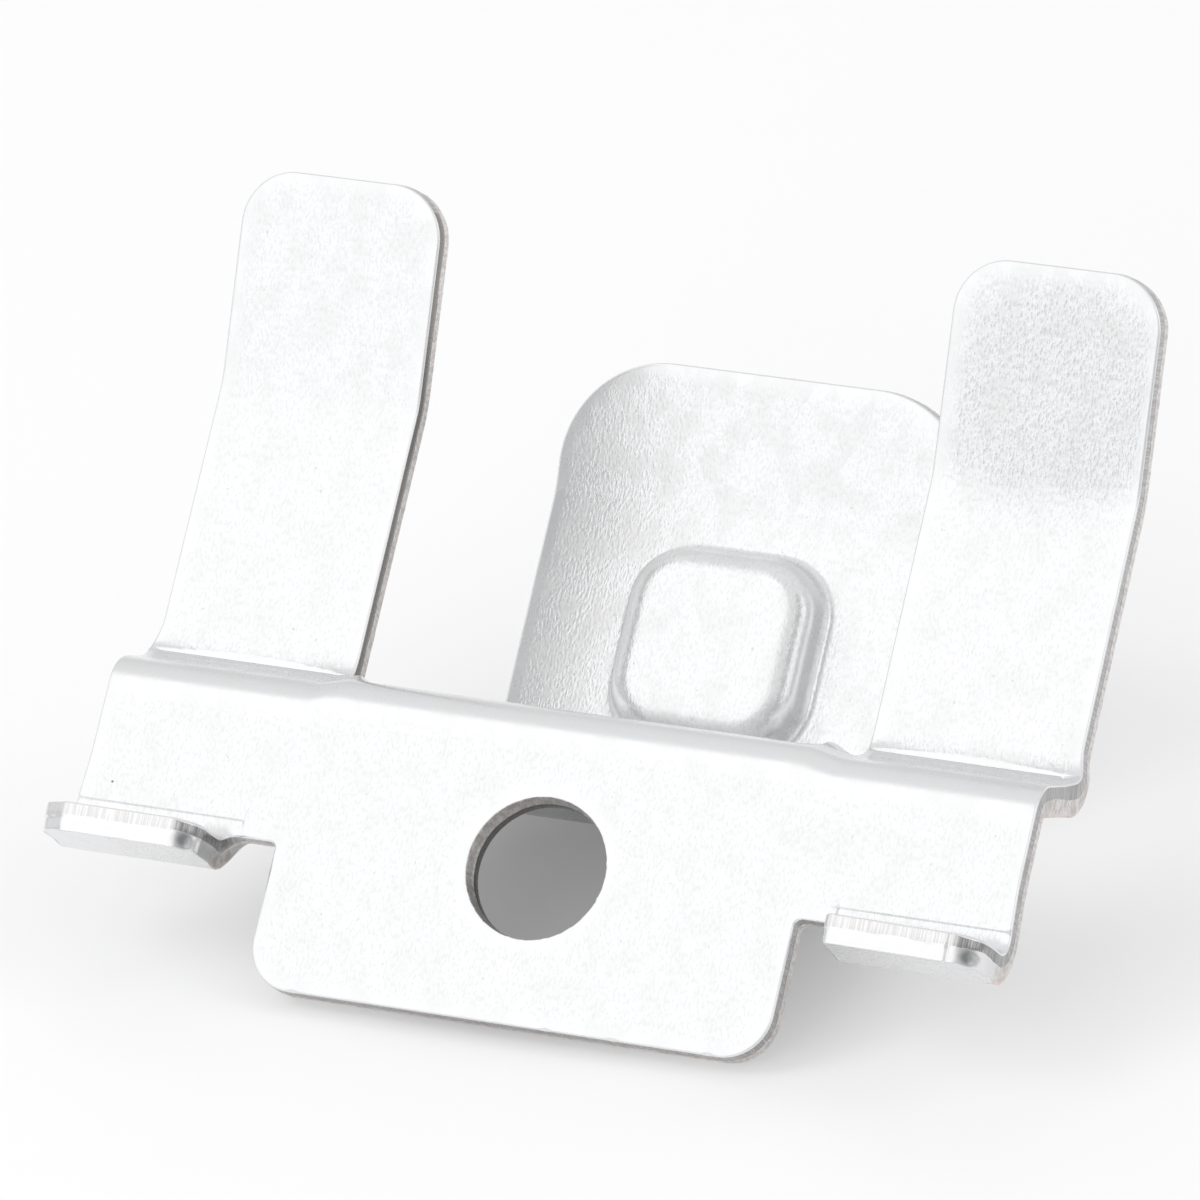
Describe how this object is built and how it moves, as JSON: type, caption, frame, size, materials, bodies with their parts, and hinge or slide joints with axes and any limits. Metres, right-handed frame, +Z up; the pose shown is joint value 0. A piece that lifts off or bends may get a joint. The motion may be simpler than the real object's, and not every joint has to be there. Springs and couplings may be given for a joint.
{
  "type": "stamped metal bracket",
  "caption": "Folded sheet-metal fixing bracket: drilled front plate with two short feet, two raised arms and an embossed rear clip.",
  "frame": {"origin": "centre of the bracket's footprint on the surface it rests on", "axes": "+X across the width, +Y from the front plate towards the rear clip, +Z up as it rests"},
  "size_m": [0.0372, 0.0298, 0.0241],
  "materials": {
    "galvanised_sheet": "bright zinc-coated sheet, fine matt grain, bare sheared edges"
  },
  "bodies": {
    "root": {"bracket": "galvanised_sheet"}
  },
  "joints": []
}
